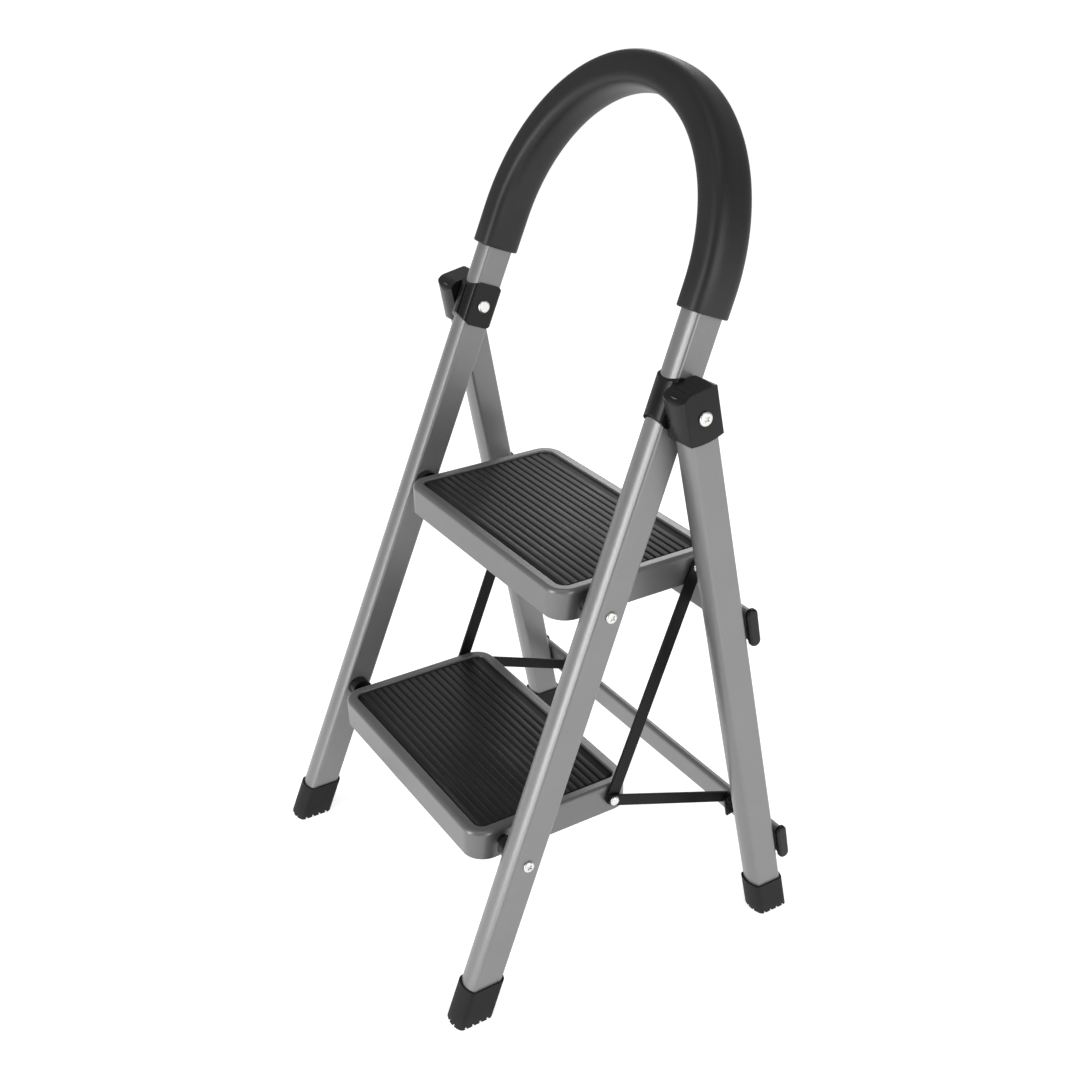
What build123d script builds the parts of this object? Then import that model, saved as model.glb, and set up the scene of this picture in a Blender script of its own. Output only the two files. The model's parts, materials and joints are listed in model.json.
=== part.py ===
from build123d import *
import os
from math import atan2, cos, degrees, hypot, radians, sin, tan

# Folding step stool with two steps, a rear frame that folds forward and an arched handle.
# Millimetres, +Z up, front towards -Y, right-hand side towards +X.
# The origin is on the floor in the middle of the stool's outline.

# Frame
hinge_height = 578.0        # hinge bolt above the floor
front_lean = 22.0           # front frame from upright, in degrees
rear_lean = 10.97           # rear frame from upright, in degrees
splay = 1.59                # each leg outwards within its frame, in degrees
arch_rise = 95.5            # hinge to the centre of the handle's arch, along the front frame

# Tube
tube_width = 25.5
tube_depth = 35.0
tube_crown = 4.0            # bulge of the front and back faces
tube_corner = 3.2
tube_wall = 1.2
fit_gap = 0.1               # between a tube and what is slid onto it
body_gap = 0.3              # between faces that move past each other
pin_play = 0.05             # radial play of a pin in its hole

# Foam grip, whose ends are given along the legs above the hinge
grip_wall = 4.7
grip_end_right = 80.0
grip_end_left = 62.0

# Feet
foot_clearance = 0.2        # between two feet side by side in the folded stool
foot_height = 38.0
foot_sole = 5.0             # least rubber under the tube's end
foot_groove_width = 2.4
foot_groove_depth = 2.5
foot_groove_pitch = 8.0
foot_cross_grooves = 4      # grooves from side to side
foot_long_grooves = 2       # grooves from front to back

# Hinge
hinge_bolt_radius = 3.0
hinge_head_radius = 6.8
hinge_head_height = 2.5
recess_width = 1.5          # cross recess in the bolts' heads
recess_length = 6.0
recess_depth = 1.3
sleeve_wall = 1.8
hood_inner_wall = 1.7
sleeve_top = 24.0
sleeve_bottom = 22.0
sleeve_end_radius = 25.5    # arched ends of the sleeve, seen from the side
hood_top = 25.0
hood_bottom = 24.0
hood_front_back_wall = 3.0
hood_outer_wall = 4.0
hood_roof = 3.5
hood_front_radius = 12.0
hood_back_radius = 6.0
hood_foot_radius = 5.0
hood_bow = 3.0              # bow of the hood's lower edge
hood_crown = 3.0            # bulge of its front and back faces
hood_corner = 2.0

# Steps
mat_width = 276.0
mat_depth = 158.0
mat_thickness = 3.0
mat_corner = 9.0
upper_mat_top = 405.5       # above the floor
lower_mat_top = 170.5
rim_width = 12.5            # mat edge to the outside of the tray
rim_rise = 1.5              # rim above the mat
rim_radius = 4.5
rim_inner_radius = 1.3
pan_gap = 0.7               # mat edge to the wall of the pan
tray_depth_below_mat = 29.5
tray_corner = 22.0
tray_sheet = 1.2

# Step pivots and the links between the steps
pivot_drop = 11.5           # pivots below the mat's top
pivot_setback = 18.6        # mat's front edge to the front pivot
link_setback = 14.9         # link's pivot to the mat's back edge
spacer_room = 14.95         # tray to the front leg, at the upper pivot
pivot_bolt_radius = 4.0
pivot_head_radius = 5.8
pivot_head_height = 2.5
neck_wall = 1.5             # plastic round the bolt in a spacer's neck
neck_room = 1.4             # spacer's neck past the outermost link beside it
flange_radius = 11.5
link_gap = 2.0              # tray to step link
link_thickness = 3.0
step_link_width = 14.0
stay_link_width = 12.0
link_spacing = 0.5          # step link to stay link
link_edge = 0.6
rivet_radius = 3.0
rivet_head_radius = 5.0
rivet_head_height = 2.5
inner_head_height = 1.8
flush_head = 1.1            # thickness of the flush head on the lower rivets
open_pivot_gap = 0.3        # radial room at the step link's upper rivet
stay_pivot_rise = 20.5      # stay link's rear pivot above the middle of the lower crossbar
stay_pivot_forward = 6.5    # and in front of the crossbar's front face

# Crossbars
bar_height = 35.0
bar_thickness = 10.0
bar_corner = 4.9
bar_wall = 1.2
lower_bar_height = 85.0     # middle of the lower crossbar above the floor
bar_end_inset = 1.5         # crossbar's end inside the rear leg's outer face
upper_bar_gap = 4.3         # upper crossbar under the upper step's skirt
plug_lip = 1.0              # end plug past the crossbar's faces
plug_rise = 3.5             # end plug past the crossbar's edges
plug_cap = 5.0
plug_insert = 15.0
bar_bolt_radius = 2.5
bar_head_radius = 5.5
bar_head_height = 2.5
bracket_sheet = 2.6
bracket_eye = 7.0
bracket_flange = 12.5
bracket_length = 21.0
bracket_step = 9.0          # eye to the top of the flange
bar_bolt_reach = 6.0        # bolt's end inside the leg
bracket_rivet_radius = 2.0

# Worked out from the sizes above
f = radians(front_lean)
r = radians(rear_lean)
a = radians(splay)
leg_gap = 2 * fit_gap + sleeve_wall + body_gap + hood_inner_wall
leg_pitch = tube_width + leg_gap
foot_wall = (leg_gap - foot_clearance) / 2 - fit_gap
foot_half_depth = tube_depth / 2 + fit_gap + foot_wall
frame_reach = hinge_height * (tan(f) + tan(r))
overall_depth = frame_reach + foot_half_depth * (1 / cos(f) + 1 / cos(r))
hinge_y = -overall_depth / 2 + foot_half_depth / cos(f) + hinge_height * tan(f)
hinge = (0, hinge_y, hinge_height)

# Each frame has a place of its own at the hinge: x across, y backwards and z up along the frame.
front_frame = Plane(origin=hinge, x_dir=(1, 0, 0), z_dir=(0, sin(f), cos(f))).location
rear_frame = Plane(origin=hinge, x_dir=(1, 0, 0), z_dir=(0, -sin(r), cos(r))).location
upper_pivot_z = upper_mat_top - pivot_drop
lower_pivot_z = lower_mat_top - pivot_drop


def front_y(height):
    """Middle of the front frame at a height above the floor."""
    return hinge_y - (hinge_height - height) * tan(f)


def below_hinge(height):
    """Distance down the front frame from the hinge to a height above the floor."""
    return (hinge_height - height) / cos(f)


upper_pivot_y = front_y(upper_pivot_z)
lower_pivot_y = front_y(lower_pivot_z)
pivot_distance = mat_depth - pivot_setback - link_setback

# Distances of the legs and of the layers between tray and leg from the middle of the stool
tray_side = mat_width / 2 + rim_width
link_start = tray_side + link_gap
stay_start = link_start + link_thickness + link_spacing
stay_end = stay_start + link_thickness
neck_radius = pivot_bolt_radius + neck_wall
upper_neck_end = link_start + link_thickness + neck_room
lower_neck_end = stay_end + neck_room
upper_leg_inner = tray_side + spacer_room
front_spread = upper_leg_inner + tube_width / 2 / cos(a) - below_hinge(upper_pivot_z) * tan(a)
rear_spread = front_spread + leg_pitch
bend_start = front_spread * sin(a) + arch_rise * cos(a)
front_side = Location((front_spread, 0, 0), (0, -splay, 0))
rear_side = Location((rear_spread, 0, 0), (0, -splay, 0))
front_leg = front_frame * front_side
rear_leg = rear_frame * rear_side

# Crossbars and the stay links' rear pivots, in the rear frame's place
bar_front = tube_depth / 2 + fit_gap
bar_middle = bar_front + bar_thickness / 2
lower_bar_below = (hinge_height + bar_middle * sin(r) - lower_bar_height) / cos(r)
stay_pivot_below = lower_bar_below - stay_pivot_rise
stay_pivot_behind = bar_front - stay_pivot_forward
stay_y = hinge_y + stay_pivot_below * sin(r) + stay_pivot_behind * cos(r)
stay_z = hinge_height - stay_pivot_below * cos(r) + stay_pivot_behind * sin(r)
bracket_start = stay_end + body_gap + 0.1
skirt_bottom = upper_mat_top - tray_depth_below_mat
bar_arc_height = skirt_bottom - upper_bar_gap - bar_thickness / 2
upper_bar_arc = (hinge_height + bar_middle * sin(r) - bar_arc_height) / cos(r)
upper_bar_below = upper_bar_arc - bar_thickness / 2 + bar_height / 2


def both_sides(shape):
    """A right-hand piece and its mirror image as one group of solids."""
    return Compound([*shape.solids(), *mirror(shape, about=Plane.YZ).solids()])


def left_of(shape):
    return mirror(shape, about=Plane.YZ)


def rod(radius, start, axis, length):
    return Solid.make_cylinder(radius, length, Plane(origin=start, z_dir=axis))


def domed_head(radius, start, axis, height):
    """A round head whose outer edge is rounded over."""
    head = rod(radius, start, axis, height)
    rim = head.edges().filter_by(GeomType.CIRCLE).sort_by(Axis(start, axis))[-1]
    return fillet(rim, 0.8 * height)


def cross_recess(x, y, z):
    """The two crossed slots of a screw head whose outer face is at x."""
    slot = Box(2 * recess_depth, recess_width, recess_length)
    return Pos(x, y, z) * (Rot(45, 0, 0) * slot + Rot(-45, 0, 0) * slot)


def tube_section(grow=0.0):
    """Flat sides, crowned front and back, grown all round by a margin."""
    half_x = tube_width / 2 + grow
    half_y = tube_depth / 2 + grow
    side = half_y - tube_crown
    outline = Line((half_x, -side), (half_x, side))
    outline += ThreePointArc((half_x, side), (0, half_y), (-half_x, side))
    outline += Line((-half_x, side), (-half_x, -side))
    outline += ThreePointArc((-half_x, -side), (0, -half_y), (half_x, -side))
    face = make_face(outline)
    return fillet(face.vertices(), tube_corner + grow)


def straight_tube(section, bottom, top):
    """A length of section from a distance below the hinge to a distance above it."""
    return Pos(0, 0, -bottom) * extrude(section, bottom + top)


def arched_tube(section, right_end, left_end):
    """A section along both front legs and round the handle's arch, in the front frame's place."""
    start = front_side * Pos(0, 0, bend_start) * section
    arch = revolve(start, Axis((0, 0, arch_rise), (0, -1, 0)), 180 - 2 * splay)
    right = front_side * straight_tube(section, right_end, bend_start)
    left = left_of(front_side * straight_tube(section, left_end, bend_start))
    return right + arch + left


def tube_end(lean):
    """Where a leg's tube ends below the hinge, so that its lowest corner clears the sole."""
    middle_height = foot_sole + tube_depth / 2 * sin(lean)
    return (hinge_height - middle_height) / (cos(lean) * cos(a))


def front_frame_tube():
    end = tube_end(f)
    section = tube_section() - tube_section(-tube_wall)
    tube = front_frame * arched_tube(section, end, end)
    width = 3 * front_spread
    tube -= rod(hinge_bolt_radius + pin_play, (-width / 2, hinge_y, hinge_height), (1, 0, 0), width)
    for y, z in ((upper_pivot_y, upper_pivot_z), (lower_pivot_y, lower_pivot_z)):
        tube -= rod(pivot_bolt_radius + pin_play, (-width / 2, y, z), (1, 0, 0), width)
    return tube


def foam_grip():
    section = tube_section(fit_gap + grip_wall) - tube_section(fit_gap)
    return front_frame * arched_tube(section, -grip_end_right, -grip_end_left)


def groove_offsets(count):
    return [(i - (count - 1) / 2) * foot_groove_pitch for i in range(count)]


def foot(leg, lean, floor_y, spread_at_floor):
    """A rubber boot on a leg's end, with a level rim and a level grooved sole."""
    reach = 2 * foot_height
    end = tube_end(lean)
    boot = leg * straight_tube(tube_section(fit_gap + foot_wall), end + reach, reach - end)
    slab = Pos(spread_at_floor, floor_y, foot_height / 2) * Box(6 * tube_width, 6 * tube_depth, foot_height)
    boot = boot & slab
    boot -= leg * straight_tube(tube_section(fit_gap), end, reach - end)
    cross_groove = Box(6 * tube_width, foot_groove_width, 2 * foot_groove_depth)
    long_groove = Box(foot_groove_width, 6 * tube_depth, 2 * foot_groove_depth)
    for offset in groove_offsets(foot_cross_grooves):
        boot -= Pos(spread_at_floor, floor_y + offset, 0) * cross_groove
    for offset in groove_offsets(foot_long_grooves):
        boot -= Pos(spread_at_floor + offset, floor_y, 0) * long_groove
    return boot


def spread_at(spread, lean):
    """Middle of a leg from the middle of the stool, at the floor."""
    return spread + hinge_height / cos(lean) * tan(a)


def front_foot():
    floor_y = front_y(0)
    return foot(front_leg, f, floor_y, spread_at(front_spread, f))


def rear_foot():
    floor_y = hinge_y + hinge_height * tan(r)
    return foot(rear_leg, r, floor_y, spread_at(rear_spread, r))


sleeve_face = front_spread + tube_width / 2 + fit_gap + sleeve_wall
hood_inner_face = sleeve_face + body_gap
hood_outer_face = rear_spread + tube_width / 2 + hood_outer_wall


def slab_between(start, end):
    """All space between two distances to the right of the middle."""
    size = 4 * tube_depth
    return Pos((start + end) / 2, hinge_y, hinge_height) * Box(end - start, size, size)


def hinge_sleeve():
    """A plastic sleeve round the front leg, with arched ends and a flat face towards the hood."""
    outer = straight_tube(tube_section(fit_gap + sleeve_wall + 1), sleeve_bottom, sleeve_top)
    reach = tube_width / 2 + fit_gap + sleeve_wall
    middle = (sleeve_top - sleeve_bottom) / 2
    ends = rod(sleeve_end_radius, (-4 * reach, 0, middle), (1, 0, 0), 8 * reach)
    block = straight_tube(tube_section(fit_gap + sleeve_wall), sleeve_bottom, sleeve_top)
    outside = outer & (Pos(reach, 0, 0) * Box(2 * reach, 4 * reach, 4 * reach))
    sleeve = front_leg * ((block + outside) & ends)
    sleeve -= front_leg * straight_tube(tube_section(fit_gap), 2 * sleeve_bottom, 2 * sleeve_top)
    sleeve = sleeve & slab_between(front_spread - 2 * tube_width, sleeve_face)
    bore = rod(hinge_bolt_radius + pin_play, (front_spread - 2 * tube_width, hinge_y, hinge_height),
               (1, 0, 0), 4 * tube_width)
    return sleeve - bore


def hood_side_outline():
    """The hood seen from the side: sloping front of the roof, rounded back, bowed lower edge."""
    half = tube_depth / 2 + hood_front_back_wall
    low_corner = hood_bow - hood_bottom
    outline = Line((half, low_corner), (half, hood_top))
    outline += Line((half, hood_top), (-half, hood_top))
    outline += Line((-half, hood_top), (-half, low_corner))
    outline += ThreePointArc((-half, low_corner), (0, -hood_bottom), (half, low_corner))
    face = make_face(outline)
    corners = face.vertices().sort_by(Axis.Y)
    face = fillet(corners[:2], hood_foot_radius)
    top_front = face.vertices().sort_by_distance((-half, hood_top, 0))[0]
    face = fillet(top_front, hood_front_radius)
    top_back = face.vertices().sort_by_distance((half, hood_top, 0))[0]
    return fillet(top_back, hood_back_radius)


def hinge_hood():
    """The plastic cap of a rear leg, which carries the hinge bolt."""
    reach = 2 * tube_depth
    side = extrude(Plane.YZ * hood_side_outline(), reach, both=True)
    half_x = tube_width / 2 + hood_outer_wall
    half_y = tube_depth / 2 + hood_front_back_wall
    straight = half_y - hood_crown
    outline = Line((half_x, -straight), (half_x, straight))
    outline += ThreePointArc((half_x, straight), (0, half_y), (-half_x, straight))
    outline += Line((-half_x, straight), (-half_x, -straight))
    outline += ThreePointArc((-half_x, -straight), (0, -half_y), (half_x, -straight))
    plan = fillet(make_face(outline).vertices(), hood_corner)
    block = side & straight_tube(plan, 2 * hood_bottom, 2 * hood_top)
    block = block & (Pos(half_x - tube_width, 0, 0) * Box(2 * tube_width, 4 * reach, 4 * reach))
    hood = rear_leg * block
    hood -= rear_leg * straight_tube(tube_section(fit_gap), 2 * hood_bottom, hood_top - hood_roof)
    hood = hood & slab_between(hood_inner_face, hood_outer_face)
    bore = rod(hinge_bolt_radius + pin_play, (front_spread, hinge_y, hinge_height), (1, 0, 0), 4 * tube_width)
    return hood - bore


def rear_leg_tube():
    end = tube_end(r)
    section = tube_section() - tube_section(-tube_wall)
    tube = rear_leg * straight_tube(section, end, hood_top - hood_roof - fit_gap)
    tube -= rod(hinge_bolt_radius + pin_play, (front_spread, hinge_y, hinge_height), (1, 0, 0), 4 * tube_width)
    for below in (upper_bar_below, lower_bar_below):
        tube -= rear_frame * bar_hole(below, bar_bolt_radius + pin_play, 0)
    return tube


hinge_nut_face = front_spread - tube_width / 2 - fit_gap - sleeve_wall - hinge_head_radius * tan(a)


def hinge_bolt():
    start = hood_outer_face + body_gap
    bolt = domed_head(hinge_head_radius, (start, hinge_y, hinge_height), (1, 0, 0), hinge_head_height)
    shank_end = hinge_nut_face - hinge_head_height / 2
    bolt += rod(hinge_bolt_radius, (shank_end, hinge_y, hinge_height), (1, 0, 0), start - shank_end)
    return bolt - cross_recess(start + hinge_head_height, hinge_y, hinge_height)


def hinge_nut():
    face = (hinge_nut_face, hinge_y, hinge_height)
    nut = domed_head(hinge_head_radius, face, (-1, 0, 0), hinge_head_height)
    return nut - rod(hinge_bolt_radius + pin_play, face, (-1, 0, 0), hinge_head_height / 2 + pin_play)


def leg_side(height, side):
    """Inner (-1) or outer (1) flat face of a front leg at a height, from the middle."""
    return front_spread + below_hinge(height) * tan(a) + side * tube_width / 2 / cos(a)


def pivot_spacer(y, z, neck_end):
    """A stepped plastic spacer between a tray and its front leg."""
    start = tray_side + body_gap
    end = leg_side(z, -1) - flange_radius * tan(a) - pin_play
    spacer = rod(neck_radius, (start, y, z), (1, 0, 0), neck_end - start)
    spacer += rod(flange_radius, (neck_end, y, z), (1, 0, 0), end - neck_end)
    return spacer - rod(pivot_bolt_radius + pin_play, (start, y, z), (1, 0, 0), end - start)


def pivot_bolt(y, z):
    """The bolt that a step turns on, with its head outside the front leg."""
    start = leg_side(z, 1) + pivot_head_radius * tan(a) + pin_play
    bolt = domed_head(pivot_head_radius, (start, y, z), (1, 0, 0), pivot_head_height)
    shank_end = tray_side - tray_sheet - body_gap - pivot_head_height / 2
    bolt += rod(pivot_bolt_radius, (shank_end, y, z), (1, 0, 0), start - shank_end)
    return bolt - cross_recess(start + pivot_head_height, y, z)


def pivot_nut(y, z):
    face = (tray_side - tray_sheet - body_gap, y, z)
    nut = domed_head(pivot_head_radius + 1, face, (-1, 0, 0), pivot_head_height)
    return nut - rod(pivot_bolt_radius + pin_play, face, (-1, 0, 0), pivot_head_height / 2 + pin_play)


def step_block(width, depth, corner, bottom, top):
    """A block with rounded corners under the mat's outline, in the step's place at its pivot."""
    middle_y = mat_depth / 2 - pivot_setback
    return Pos(0, middle_y, bottom) * extrude(RectangleRounded(width, depth, corner), top - bottom)


pan_floor = pivot_drop - mat_thickness
rim_top = pivot_drop + rim_rise
tray_bottom = pivot_drop - tray_depth_below_mat


def step_tray():
    """A pressed sheet tray: skirt, rolled rim and a shallow pan for the mat."""
    width = mat_width + 2 * rim_width
    depth = mat_depth + 2 * rim_width
    sheet = tray_sheet
    tray = step_block(width, depth, tray_corner, tray_bottom, rim_top)
    tray = fillet(tray.faces().sort_by(Axis.Z)[-1].edges(), rim_radius)
    pan_width = mat_width + 2 * pan_gap
    pan_depth = mat_depth + 2 * pan_gap
    pan = step_block(pan_width, pan_depth, mat_corner + pan_gap, pan_floor, rim_top + sheet)
    tray -= pan
    lip = tray.edges().filter_by(Plane.XY).filter_by_position(Axis.Z, rim_top - 0.01, rim_top + 0.01)
    inner_lip = lip.filter_by(lambda e: abs(e.center().X) < pan_width / 2 + 0.1
                              and abs(e.center().Y - mat_depth / 2 + pivot_setback) < pan_depth / 2 + 0.1)
    tray = fillet(inner_lip, rim_inner_radius)
    under = step_block(width - 2 * sheet, depth - 2 * sheet, tray_corner - sheet,
                       tray_bottom - sheet, rim_top - sheet)
    under = fillet(under.faces().sort_by(Axis.Z)[-1].edges(), rim_radius - sheet)
    under -= step_block(pan_width + 2 * sheet, pan_depth + 2 * sheet, mat_corner + pan_gap + sheet,
                        pan_floor - sheet, rim_top)
    tray -= under
    tray -= rod(pivot_bolt_radius + pin_play, (-width, 0, 0), (1, 0, 0), 2 * width)
    tray -= rod(rivet_radius + pin_play, (-width, pivot_distance, 0), (1, 0, 0), 2 * width)
    return tray


def step_mat():
    return step_block(mat_width, mat_depth, mat_corner, pan_floor, pivot_drop)


def link_rivet(outer_start, outer_height):
    """The rivet that a step link turns on, in the step's place, with a head on both ends."""
    y = pivot_distance
    inner_face = tray_side - tray_sheet
    rivet = domed_head(rivet_head_radius, (inner_face, y, 0), (-1, 0, 0), inner_head_height)
    rivet += rod(rivet_radius, (inner_face, y, 0), (1, 0, 0), outer_start - inner_face)
    shoulder = link_start - body_gap - tray_side
    rivet += rod(rivet_head_radius - 0.5, (tray_side, y, 0), (1, 0, 0), shoulder)
    return rivet + domed_head(rivet_head_radius, (outer_start, y, 0), (1, 0, 0), outer_height)


def link_plate(start, end, width, inner_face, start_hole, end_hole):
    """A flat bar with round ends between two pivots given as (y, z)."""
    run_y = end[0] - start[0]
    run_z = end[1] - start[1]
    middle = ((start[0] + end[0]) / 2, (start[1] + end[1]) / 2, inner_face)
    place = Location(middle, (0, 0, degrees(atan2(run_z, run_y))))
    bar = extrude(Plane.YZ * (place * SlotCenterToCenter(hypot(run_y, run_z), width)), link_thickness)
    long_edges = bar.faces().filter_by(Plane.YZ).edges()
    bar = fillet(long_edges, link_edge)
    for (y, z), hole in ((start, start_hole), (end, end_hole)):
        bar -= rod(hole, (inner_face - 1, y, z), (1, 0, 0), link_thickness + 2)
    return bar


lower_link_pivot = (lower_pivot_y + pivot_distance, lower_pivot_z)
upper_link_pivot = (upper_pivot_y + pivot_distance, upper_pivot_z)


def step_link():
    """The bar that keeps both steps parallel; its lower rivet head lies in a counterbore."""
    bar = link_plate(lower_link_pivot, upper_link_pivot, step_link_width, link_start,
                     rivet_radius + pin_play, rivet_radius + open_pivot_gap)
    y, z = lower_link_pivot
    sink = flush_head + 2 * fit_gap
    return bar - rod(rivet_head_radius + body_gap, (link_start + link_thickness - sink, y, z), (1, 0, 0), sink)


def stay_link():
    """The bar from the rear frame to the lower step's link pivot."""
    return link_plate(lower_link_pivot, (stay_y, stay_z), stay_link_width, stay_start,
                      rivet_radius - 0.5 + pin_play, rivet_radius + pin_play)


def stay_eye_rivet():
    y, z = lower_link_pivot
    head = domed_head(rivet_head_radius, (stay_end, y, z), (1, 0, 0), rivet_head_height)
    return head + rod(rivet_radius - 0.5, (stay_start, y, z), (1, 0, 0), link_thickness)


def stay_pin():
    """The pin through the bracket that the stay link turns on."""
    outer = bracket_start + bracket_sheet
    inner = stay_start - body_gap
    pin = rod(rivet_radius, (inner, stay_y, stay_z), (1, 0, 0), outer - inner)
    pin += domed_head(rivet_head_radius, (outer, stay_y, stay_z), (1, 0, 0), rivet_head_height)
    return pin + domed_head(rivet_head_radius, (inner, stay_y, stay_z), (-1, 0, 0), rivet_head_height)


bracket_rivet_x = bracket_start + 0.6 * bracket_flange
bracket_rivet_below = stay_pivot_below + (bracket_length + bracket_step) / 2


def stay_bracket():
    """An angle on the lower crossbar's front face, with the eye for the stay link's pin."""
    back = bar_front - pin_play
    eye = rod(bracket_eye, (bracket_start, stay_pivot_behind, -stay_pivot_below), (1, 0, 0), bracket_sheet)
    web_front = stay_pivot_behind - bracket_eye
    web_box = Box(bracket_sheet, back - web_front, bracket_length)
    web_middle = ((back + web_front) / 2, -stay_pivot_below - bracket_length / 2)
    bracket = eye + Pos(bracket_start + bracket_sheet / 2, *web_middle) * web_box
    flange_box = Box(bracket_flange, bracket_sheet, bracket_length - bracket_step)
    flange_z = -stay_pivot_below - (bracket_length + bracket_step) / 2
    bracket += Pos(bracket_start + bracket_flange / 2, back - bracket_sheet / 2, flange_z) * flange_box
    keep = Pos(0, back - 2 * tube_depth, -stay_pivot_below) * Box(900, 4 * tube_depth, 200)
    bracket = bracket & keep
    bracket -= rod(rivet_radius + pin_play, (bracket_start - 1, stay_pivot_behind, -stay_pivot_below),
                   (1, 0, 0), bracket_sheet + 2)
    bracket -= rod(bracket_rivet_radius + pin_play, (bracket_rivet_x, 0, -bracket_rivet_below),
                   (0, 1, 0), 2 * bar_front)
    return rear_frame * bracket


def bracket_rivet():
    face = bar_front - pin_play - bracket_sheet
    start = (bracket_rivet_x, face, -bracket_rivet_below)
    shank = rod(bracket_rivet_radius, start, (0, 1, 0), bracket_sheet + bar_wall + 2)
    return rear_frame * (shank + domed_head(2 * bracket_rivet_radius, start, (0, -1, 0), 1.5))


def bar_section(below, height, thickness, corner):
    """A rounded section across X, in the rear frame's place."""
    return Plane.YZ * (Pos(bar_middle, -below) * RectangleRounded(thickness, height, corner))


def bar_hole(below, radius, start):
    """A hole backwards through a leg and a crossbar where they cross."""
    x = rear_spread + below * tan(a)
    return rod(radius, (x, start, -below), (0, 1, 0), 2 * tube_depth)


def bar_half(below):
    """Half the length of a crossbar, which ends just inside the rear legs' outer faces."""
    return rear_spread + below * tan(a) + tube_width / 2 - bar_end_inset


def crossbar(below):
    outer = bar_section(below, bar_height, bar_thickness, bar_corner)
    inner = bar_section(below, bar_height - 2 * bar_wall, bar_thickness - 2 * bar_wall, bar_corner - bar_wall)
    bar = extrude(outer - inner, bar_half(below), both=True)
    hole = bar_hole(below, bar_bolt_radius + pin_play, 0)
    bar = bar - hole - left_of(hole)
    if below == lower_bar_below:
        rivet = rod(bracket_rivet_radius + pin_play, (bracket_rivet_x, 0, -bracket_rivet_below),
                    (0, 1, 0), bar_middle)
        bar = bar - rivet - left_of(rivet)
    return rear_frame * bar


def bar_plug(below):
    """A plastic end plug: a rounded cap and an insert inside the crossbar."""
    half_length = bar_half(below)
    thickness = bar_thickness + 2 * plug_lip
    outer = bar_section(below, bar_height + 2 * plug_rise, thickness, bar_corner + plug_lip)
    cap = Pos(half_length, 0, 0) * extrude(outer, plug_cap)
    cap = fillet(cap.faces().sort_by(Axis.X)[-1].edges(), 0.5 * plug_cap)
    shrink = 2 * (bar_wall + fit_gap)
    inner = bar_section(below, bar_height - shrink, bar_thickness - shrink, bar_corner - shrink / 2)
    plug = cap + Pos(half_length - plug_insert, 0, 0) * extrude(inner, plug_insert)
    hole_x = rear_spread + below * tan(a)
    room = rod(bar_bolt_radius + fit_gap, (hole_x, 0, -below), (0, 1, 0), 2 * tube_depth)
    return rear_frame * (plug - room)


def bar_bolt(below):
    """The bolt that holds a crossbar to the back of a rear leg."""
    x = rear_spread + below * tan(a)
    back = bar_front + bar_thickness
    head = domed_head(bar_head_radius, (x, back, -below), (0, 1, 0), bar_head_height)
    front = tube_depth / 2 - tube_wall - bar_bolt_reach
    return rear_frame * (head + rod(bar_bolt_radius, (x, front, -below), (0, 1, 0), back - front))


at_upper_pivot = Pos(0, upper_pivot_y, upper_pivot_z)
at_lower_pivot = Pos(0, lower_pivot_y, lower_pivot_z)
bars = (upper_bar_below, lower_bar_below)
pivots = ((upper_pivot_y, upper_pivot_z), (lower_pivot_y, lower_pivot_z))
open_rivet_start = link_start + link_thickness + body_gap
flush_rivet_start = link_start + link_thickness - flush_head - fit_gap

nodes = {
    "front_frame_tube": front_frame_tube(),
    "foam_grip": foam_grip(),
    "hinge_bolts": both_sides(hinge_bolt()),
    "hinge_nuts": both_sides(hinge_nut()),
    "upper_pivot_spacers": both_sides(pivot_spacer(upper_pivot_y, upper_pivot_z, upper_neck_end)),
    "lower_pivot_spacers": both_sides(pivot_spacer(lower_pivot_y, lower_pivot_z, lower_neck_end)),
    "step_pivot_bolts": both_sides(Compound([pivot_bolt(y, z) for y, z in pivots])),
    "step_pivot_nuts": both_sides(Compound([pivot_nut(y, z) for y, z in pivots])),
    "upper_crossbar": crossbar(upper_bar_below),
    "lower_crossbar": crossbar(lower_bar_below),
    "crossbar_end_plugs": both_sides(Compound([bar_plug(below) for below in bars])),
    "crossbar_bolts": both_sides(Compound([bar_bolt(below) for below in bars])),
    "stay_brackets": both_sides(stay_bracket()),
    "stay_bracket_rivets": both_sides(bracket_rivet()),
    "stay_pins": both_sides(stay_pin()),
    "upper_step_tray": at_upper_pivot * step_tray(),
    "upper_step_mat": at_upper_pivot * step_mat(),
    "upper_link_rivets": both_sides(at_upper_pivot * link_rivet(open_rivet_start, rivet_head_height)),
    "lower_step_tray": at_lower_pivot * step_tray(),
    "lower_step_mat": at_lower_pivot * step_mat(),
    "lower_link_rivets": both_sides(at_lower_pivot * link_rivet(flush_rivet_start, flush_head)),
}

pairs = {
    "hinge_sleeve": hinge_sleeve(),
    "front_foot": front_foot(),
    "rear_leg": rear_leg_tube(),
    "hinge_hood": hinge_hood(),
    "rear_foot": rear_foot(),
    "step_link": step_link(),
    "stay_link": stay_link(),
    "stay_eye_rivet": stay_eye_rivet(),
}
for name, piece in pairs.items():
    nodes[name + "_right"] = piece
    nodes[name + "_left"] = left_of(piece)

os.makedirs("parts", exist_ok=True)
for name, piece in nodes.items():
    export_step(piece, f"parts/{name}.step")
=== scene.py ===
import json
from math import atan2, cos, pi, radians, sin

import bmesh
import bpy
from mathutils import Matrix, Vector


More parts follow.
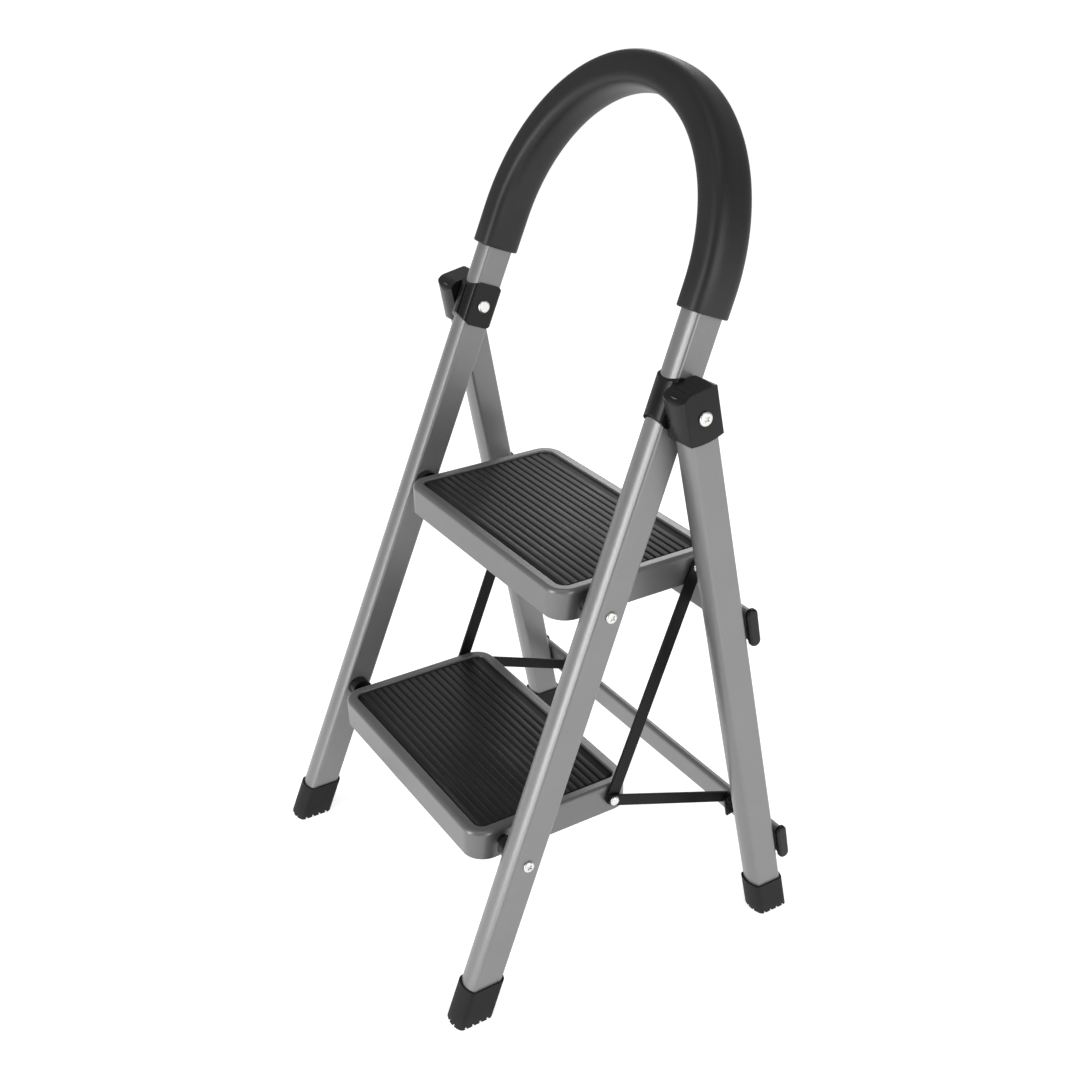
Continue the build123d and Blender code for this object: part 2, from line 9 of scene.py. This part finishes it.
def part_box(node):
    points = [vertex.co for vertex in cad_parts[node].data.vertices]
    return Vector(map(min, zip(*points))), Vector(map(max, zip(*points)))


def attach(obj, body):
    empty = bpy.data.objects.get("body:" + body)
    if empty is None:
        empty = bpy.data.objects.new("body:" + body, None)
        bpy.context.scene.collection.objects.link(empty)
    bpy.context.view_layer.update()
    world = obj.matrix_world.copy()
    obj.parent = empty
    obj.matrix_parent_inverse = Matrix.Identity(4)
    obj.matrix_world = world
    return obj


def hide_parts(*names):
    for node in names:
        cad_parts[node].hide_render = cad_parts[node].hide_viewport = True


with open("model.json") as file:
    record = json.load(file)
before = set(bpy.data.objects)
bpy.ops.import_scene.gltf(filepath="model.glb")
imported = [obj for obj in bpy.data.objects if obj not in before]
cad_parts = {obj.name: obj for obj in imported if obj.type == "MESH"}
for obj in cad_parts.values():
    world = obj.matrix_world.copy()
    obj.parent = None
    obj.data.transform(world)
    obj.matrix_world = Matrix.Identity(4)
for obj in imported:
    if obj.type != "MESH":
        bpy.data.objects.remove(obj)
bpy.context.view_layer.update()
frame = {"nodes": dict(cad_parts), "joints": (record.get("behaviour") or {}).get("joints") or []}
nodes = frame["nodes"]
joints = {joint["name"]: joint for joint in frame["joints"]}


# The front frame is one oval steel tube bent into two legs and an arched handle, the rear frame two
# straight legs of the same tube joined by two flat-oval crossbars. All are powder coated in
# silver-grey: a satin coat with a faint orange peel, fine metal flake and a few dull patches.

class Shade:
    """A shader socket: + or * on it adds the Math node, and make() adds any other node."""

    def __init__(self, tree, socket=None):
        self.tree = tree
        self.socket = socket

    def make(self, kind, settings, inputs, out=0):
        node = self.tree.nodes.new(kind)
        for name, value in settings.items():
            setattr(node, name, value)
        for name, value in inputs.items():
            if isinstance(value, Shade):
                self.tree.links.new(value.socket, node.inputs[name])
            else:
                node.inputs[name].default_value = value
        return Shade(self.tree, node.outputs[out])

    def maths(self, operation, first, second):
        return self.make("ShaderNodeMath", {"operation": operation}, {0: first, 1: second})

    def __add__(self, other):
        return self.maths("ADD", self, other)

    def __mul__(self, other):
        return self.maths("MULTIPLY", self, other)

    __radd__ = __add__
    __rmul__ = __mul__


def new_finish(name, fixed):
    """A material, the shader to write expressions on, and its shader node with fixed values set."""
    material = bpy.data.materials.new(name)
    material.use_nodes = True
    tree = material.node_tree
    bsdf = tree.nodes["Principled BSDF"]
    for socket, value in fixed.items():
        bsdf.inputs[socket].default_value = value
    return material, Shade(tree), bsdf


def place_on(shade):
    """Object coordinates in metres, which run on from piece to piece."""
    return shade.make("ShaderNodeTexCoord", {}, {}, "Object")


def noise(shade, place, size, detail=2.0, stretch=(1, 1, 1)):
    """Noise from 0 to 1 with features of a size in metres, stretched along some axes."""
    scale = tuple(1 / (size * s) for s in stretch)
    spread = shade.make("ShaderNodeVectorMath", {"operation": "MULTIPLY"}, {0: place, 1: scale})
    return shade.make("ShaderNodeTexNoise", {}, {"Vector": spread, "Scale": 1.0, "Detail": detail}, "Fac")


def tinted(shade, amount, low, high):
    """A colour between two, by an amount from 0 to 1."""
    values = {"Factor": amount, 6: (*low, 1), 7: (*high, 1)}
    return shade.make("ShaderNodeMix", {"data_type": "RGBA"}, values, 2)


def feed(bsdf, colour, roughness, height, depth):
    """Links colour, roughness and relief of a depth in metres to the shader."""
    tree = bsdf.id_data
    tree.links.new(colour.socket, bsdf.inputs["Base Color"])
    tree.links.new(roughness.socket, bsdf.inputs["Roughness"])
    values = {"Height": height, "Strength": 1.0, "Distance": depth}
    bump = colour.make("ShaderNodeBump", {}, values)
    tree.links.new(bump.socket, bsdf.inputs["Normal"])


def powder_coat(name, low, high):
    """The satin coat of tubes and trays, between a low and a high tone."""
    fixed = {"Metallic": 0.4, "Coat Weight": 0.12, "Coat Roughness": 0.22}
    material, shade, bsdf = new_finish(name, fixed)
    place = place_on(shade)
    flake = noise(shade, place, size=0.0006, detail=1.0)
    patches = noise(shade, place, size=0.05, detail=3.0)
    scuffs = noise(shade, place, size=0.006, detail=4.0, stretch=(1, 1, 3))
    peel = noise(shade, place, size=0.0016, detail=1.0)
    colour = tinted(shade, 0.55 * flake + 0.45 * patches, low, high)
    roughness = 0.26 + 0.08 * patches + 0.06 * scuffs
    feed(bsdf, colour, roughness=roughness, height=peel + 0.3 * flake, depth=0.00006)
    return material


def wear(names, material):
    """Puts a material on the real pieces of these names."""
    for name in names:
        nodes[name].material_slots[0].material = material


tube_coat = powder_coat("silver_powder_coat", low=(0.165, 0.165, 0.168), high=(0.225, 0.225, 0.229))
wear(["front_frame_tube", "rear_leg_right", "rear_leg_left", "upper_crossbar", "lower_crossbar"],
     tube_coat)


# Each step is a tray pressed from sheet steel, with a rolled rim round a shallow pan and a deep
# skirt. It has the same powder coat as the tubes, a little darker.

tray_coat = powder_coat("tray_powder_coat", low=(0.125, 0.125, 0.127), high=(0.17, 0.17, 0.173))
wear(["upper_step_tray", "lower_step_tray"], tray_coat)


# A ribbed rubber mat is bonded into the pan of each tray. Low rounded ribs run from side to side
# on a base with rounded corners. The black rubber has a fine grain and is rubbed paler in places.

rib_pitch = 0.00862
rib_width = 0.0064
rib_height = 0.0007
front_strip = 0.0051        # flat strip in front of the first rib
mat_corner = 0.009
rib_margin = 0.0022         # rib's end to the mat's edge
rib_round = 0.75            # rounding of a rib's top edges, as a part of its height


def rib_half_length(y, low, high):
    """Half the length of a rib at y, shorter where the mat's corners are rounded."""
    into_corner = mat_corner - min(y - low.y, high.y - y)
    half = (high.x - low.x) / 2 - rib_margin
    if into_corner <= 0:
        return half
    return half - mat_corner + (mat_corner ** 2 - min(into_corner, mat_corner) ** 2) ** 0.5


def rounded_slab(work, low, high, corner):
    """A slab between two corners with rounded upright edges, in a mesh being worked on."""
    size = high - low
    place = Matrix.Translation((low + high) / 2) @ Matrix.Diagonal((*size, 1))
    block = bmesh.ops.create_cube(work, size=1.0, matrix=place)
    upright = {edge for vert in block["verts"] for edge in vert.link_edges
               if abs(edge.verts[0].co.z - edge.verts[1].co.z) > size.z / 2}
    bmesh.ops.bevel(work, geom=list(upright), offset=corner, segments=8, profile=0.5,
                    affect="EDGES", material=-1, offset_type="OFFSET")


def finished(work, name):
    """Turns a worked mesh into a piece with smooth shading."""
    mesh = bpy.data.meshes.new(name)
    work.to_mesh(mesh)
    work.free()
    for face in mesh.polygons:
        face.use_smooth = True
    piece = bpy.data.objects.new(name, mesh)
    bpy.context.scene.collection.objects.link(piece)
    return piece


def ribbed_mat(name, node):
    """A mat with ribs that fills the box of its plain node."""
    low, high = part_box(node)
    work = bmesh.new()
    base_top = high.z - rib_height
    rounded_slab(work, low, Vector((high.x, high.y, base_top)), mat_corner)
    y = low.y + front_strip + rib_width / 2
    while y + rib_width / 2 < high.y:
        half = rib_half_length(y, low, high)
        size = Matrix.Diagonal((2 * half, rib_width, 2 * rib_height, 1))
        middle = Matrix.Translation(((low.x + high.x) / 2, y, base_top))
        rib = bmesh.ops.create_cube(work, size=1.0, matrix=middle @ size)
        top = {edge for vert in rib["verts"] for edge in vert.link_edges
               if min(v.co.z for v in edge.verts) > base_top}
        bmesh.ops.bevel(work, geom=list(top), offset=rib_round * rib_height, segments=3, profile=0.5,
                        affect="EDGES", material=-1)
        y += rib_pitch
    return finished(work, name)


fixed = {"Specular IOR Level": 0.32}
mat_rubber, shade, bsdf = new_finish("mat_rubber", fixed)
place = place_on(shade)
grain = noise(shade, place, size=0.0005, detail=2.0)
rubbed = noise(shade, place, size=0.03, detail=4.0)
colour = tinted(shade, 0.4 * grain + 0.6 * rubbed,
                low=(0.003, 0.003, 0.0032), high=(0.010, 0.010, 0.0105))
feed(bsdf, colour, roughness=0.34 + 0.14 * rubbed, height=grain, depth=0.00008)

for step in ("upper_step", "lower_step"):
    mat = ribbed_mat(step + "_ribs", step + "_mat")
    mat.data.materials.append(mat_rubber)
    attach(mat, step)
    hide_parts(step + "_mat")


# The grip is a closed-cell foam sleeve pushed over the arch of the front frame. It is an even oval
# all the way, with softly rounded ends, fine pores and smoother patches where hands rub it.

splay = radians(1.59)       # each leg outwards within the frame
arch_rise = 0.0955          # hinge to the centre of the arch, along the frame
grip_half_width = 0.01755
grip_half_depth = 0.0223
bore_half_width = 0.01285
bore_half_depth = 0.0176
grip_end_right = 0.080      # above the hinge along the right leg
grip_end_left = 0.062
front_spread = 0.1727       # middle of the stool to the middle of a front leg, at the hinge
grip_end_round = 0.0016
outer_squareness = 3.4      # 2 is an ellipse, and more is nearer to a box
bore_squareness = 4.5
ring_points = 64
arch_steps = 96

upper_pivot = Vector(joints["upper_step_tilt"]["pos_m"])
hinge = Vector(joints["frame_fold"]["pos_m"])
lean = atan2(hinge.y - upper_pivot.y, hinge.z - upper_pivot.z)


def oval(work, half_width, half_depth, squareness):
    """A ring of vertices about the origin, between an ellipse and its box."""
    ring = bmesh.ops.create_circle(work, segments=ring_points, radius=1.0)["verts"]
    for vert in ring:
        reach = (abs(vert.co.x) ** squareness + abs(vert.co.y) ** squareness) ** (1 / squareness)
        vert.co.x *= half_width / reach
        vert.co.y *= half_depth / reach
    return ring


def foam_sleeve(name):
    """The oval section spun round the arch, then drawn down both legs and rounded at its ends."""
    work = bmesh.new()
    outer = oval(work, grip_half_width, grip_half_depth, outer_squareness)
    inner = oval(work, bore_half_width, bore_half_depth, bore_squareness)
    rims = list({edge for vert in outer + inner for edge in vert.link_edges})
    bmesh.ops.bridge_loops(work, edges=rims)
    bend_start = front_spread * sin(splay) + arch_rise * cos(splay)
    leg = Matrix.Translation((front_spread, 0, 0)) @ Matrix.Rotation(-splay, 4, "Y")
    bmesh.ops.transform(work, matrix=leg @ Matrix.Translation((0, 0, bend_start)), verts=work.verts)
    section = list(work.verts) + list(work.edges) + list(work.faces)
    right_cap = list(work.faces)
    turned = bmesh.ops.spin(work, geom=section, cent=(0, 0, arch_rise), axis=(0, -1, 0),
                            angle=pi - 2 * splay, steps=arch_steps, use_duplicate=False)
    left_cap = [item for item in turned["geom_last"] if isinstance(item, bmesh.types.BMFace)]
    down_right = leg.to_3x3() @ Vector((0, 0, -1))
    down_left = Vector((-down_right.x, 0, down_right.z))
    ends = []
    for cap, down, end in ((right_cap, down_right, grip_end_right), (left_cap, down_left, grip_end_left)):
        grown = bmesh.ops.extrude_face_region(work, geom=cap)
        verts = [item for item in grown["geom"] if isinstance(item, bmesh.types.BMVert)]
        bmesh.ops.translate(work, vec=down * (bend_start - end), verts=verts)
        bmesh.ops.delete(work, geom=cap, context="FACES")
        ends.append([item for item in grown["geom"] if isinstance(item, bmesh.types.BMFace)])
    for faces in ends:
        rim = [edge for edge in {e for face in faces for e in face.edges}
               if sum(f in faces for f in edge.link_faces) == 1]
        bmesh.ops.bevel(work, geom=rim, offset=grip_end_round, segments=4, profile=0.5,
                        affect="EDGES", material=-1)
    bmesh.ops.recalc_face_normals(work, faces=work.faces)
    upright = Matrix.Rotation(-lean, 4, "X")
    bmesh.ops.transform(work, matrix=Matrix.Translation(hinge) @ upright, verts=work.verts)
    return finished(work, name)


fixed = {"Specular IOR Level": 0.42}
foam, shade, bsdf = new_finish("closed_cell_foam", fixed)
place = place_on(shade)
pores = shade.make("ShaderNodeTexVoronoi", {}, {"Vector": place, "Scale": 1600.0}, "Distance")
handled = noise(shade, place, size=0.04, detail=3.0)
skin = noise(shade, place, size=0.0022, detail=2.0)
colour = tinted(shade, 0.3 * skin + 0.7 * handled,
                low=(0.002, 0.002, 0.0022), high=(0.006, 0.006, 0.0062))
feed(bsdf, colour, roughness=0.40 + 0.10 * handled, height=pores + skin, depth=0.00005)

grip = foam_sleeve("foam_handle_sleeve")
grip.data.materials.append(foam)
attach(grip, "front_frame")
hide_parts("foam_grip")


# The sleeves, hoods, spacers and crossbar plugs are injection moulded in black plastic, with the
# fine spark-eroded grain of the mould and a slight shine on it.

black_plastic, shade, bsdf = new_finish("moulded_plastic", {"Specular IOR Level": 0.25})
place = place_on(shade)
spark = noise(shade, place, size=0.0004, detail=2.0)
flow = noise(shade, place, size=0.02, detail=2.0)
colour = tinted(shade, flow, low=(0.003, 0.003, 0.0034), high=(0.007, 0.007, 0.0075))
feed(bsdf, colour, roughness=0.20 + 0.10 * flow + 0.06 * spark, height=spark, depth=0.00003)
wear(["hinge_sleeve_right", "hinge_sleeve_left", "hinge_hood_right", "hinge_hood_left",
      "upper_pivot_spacers", "lower_pivot_spacers", "crossbar_end_plugs"], black_plastic)


# The feet are rubber boots pushed on the legs' ends, moulded with a grooved tread. The rubber is
# dull, with dust in its grain and a greyer tone low down, where it rubs on floors.

foot_rubber, shade, bsdf = new_finish("foot_rubber", {"Specular IOR Level": 0.2})
place = place_on(shade)
height = shade.make("ShaderNodeSeparateXYZ", {}, {"Vector": place}, "Z")
fade = {"Value": height, "From Min": 0.0, "From Max": 0.012, "To Min": 1.0, "To Max": 0.0}
low_down = shade.make("ShaderNodeMapRange", {}, fade)
dust = noise(shade, place, size=0.004, detail=4.0)
grain = noise(shade, place, size=0.0006, detail=2.0)
colour = tinted(shade, 0.35 * dust + 0.5 * (low_down * dust),
                low=(0.007, 0.007, 0.0075), high=(0.035, 0.034, 0.032))
feed(bsdf, colour, roughness=0.55 + 0.2 * dust, height=grain, depth=0.00010)
wear(["front_foot_right", "front_foot_left", "rear_foot_right", "rear_foot_left"], foot_rubber)


# The links between the steps and to the rear frame are flat steel bars with round ends, painted
# black. The brackets on the lower crossbar and their pins have the same paint.

black_paint, shade, bsdf = new_finish("black_paint", {"Specular IOR Level": 0.15})
place = place_on(shade)
peel = noise(shade, place, size=0.0014, detail=1.0)
rubbed = noise(shade, place, size=0.012, detail=4.0)
colour = tinted(shade, rubbed, low=(0.003, 0.003, 0.0034), high=(0.008, 0.008, 0.0085))
feed(bsdf, colour, roughness=0.28 + 0.16 * rubbed, height=peel, depth=0.00005)
wear(["step_link_right", "step_link_left", "stay_link_right", "stay_link_left", "stay_brackets",
      "stay_pins"], black_paint)


# Bolts, nuts and rivets are zinc-plated steel: bright, with a fine grain and a slightly uneven,
# faintly warm passivation.

zinc, shade, bsdf = new_finish("zinc_plate", {"Metallic": 1.0})
place = place_on(shade)
tone = noise(shade, place, size=0.004, detail=3.0)
fine = noise(shade, place, size=0.0005, detail=2.0)
colour = tinted(shade, tone, low=(0.58, 0.58, 0.57), high=(0.78, 0.775, 0.75))
feed(bsdf, colour, roughness=0.20 + 0.18 * tone + 0.08 * fine, height=fine, depth=0.00003)
wear(["hinge_bolts", "hinge_nuts", "step_pivot_bolts", "step_pivot_nuts", "crossbar_bolts",
      "stay_bracket_rivets", "upper_link_rivets", "lower_link_rivets",
      "stay_eye_rivet_right", "stay_eye_rivet_left"], zinc)


# The floor is a plain white sheet, far larger than the stool, with a faint glow of its own. The
# stool stands in a pale studio with a tall soft light in front of it, a broad one on its right, a
# small one behind on the left and one overhead.

floor_size = 30.0
floor_mesh = bmesh.new()
bmesh.ops.create_grid(floor_mesh, x_segments=1, y_segments=1, size=floor_size / 2)
floor = finished(floor_mesh, "studio_floor")
fixed = {"Base Color": (0.85, 0.85, 0.85, 1), "Roughness": 0.8, "Specular IOR Level": 0.2,
         "Emission Color": (1, 1, 1, 1), "Emission Strength": 0.66}
floor_paint, shade, bsdf = new_finish("pale_floor", fixed)
floor.data.materials.append(floor_paint)

world = bpy.data.worlds.new("studio")
world.use_nodes = True
background = world.node_tree.nodes["Background"]
background.inputs["Color"].default_value = (1, 1, 1, 1)
background.inputs["Strength"].default_value = 0.42
bpy.context.scene.world = world
bpy.context.scene.view_settings.view_transform = "Standard"

middle = Vector((0, 0, 0.42))       # the lights look at the middle of the stool


def softbox(name, place, width, height, power):
    """A rectangular soft light that looks at the middle of the stool."""
    data = bpy.data.lights.new(name, "AREA")
    data.shape = "RECTANGLE"
    data.size = width
    data.size_y = height
    data.energy = power
    light = bpy.data.objects.new(name, data)
    light.location = place
    light.rotation_euler = (middle - Vector(place)).to_track_quat("-Z", "Y").to_euler()
    bpy.context.scene.collection.objects.link(light)


softbox("front_light", (-0.1, -2.2, 0.8), width=0.5, height=2.2, power=32)
softbox("right_light", (2.3, 0.2, 1.1), width=1.6, height=1.6, power=26)
softbox("back_light", (-1.7, 1.5, 1.5), width=0.7, height=0.8, power=7)
softbox("overhead_light", (0.3, -0.3, 2.4), width=1.2, height=1.2, power=4)


# The camera looks down at the stool from the front right.

camera_place = Vector((1.0814, -0.6336, 1.0200))
camera_azimuth = radians(58.441)
camera_elevation = radians(26.801)
camera_roll = radians(-0.653)
back = Vector((sin(camera_azimuth) * cos(camera_elevation), -cos(camera_azimuth) * cos(camera_elevation),
               sin(camera_elevation)))
across = Vector((cos(camera_azimuth), sin(camera_azimuth), 0))
upward = back.cross(across)
turned_across = cos(camera_roll) * across + sin(camera_roll) * upward
turned_up = cos(camera_roll) * upward - sin(camera_roll) * across
camera_data = bpy.data.cameras.new("camera")
camera_data.lens = 46.56
camera_data.sensor_width = 36.0
camera = bpy.data.objects.new("camera", camera_data)
axes = Matrix((turned_across, turned_up, back)).transposed().to_4x4()
camera.matrix_world = Matrix.Translation(camera_place) @ axes
bpy.context.scene.collection.objects.link(camera)
bpy.context.scene.camera = camera
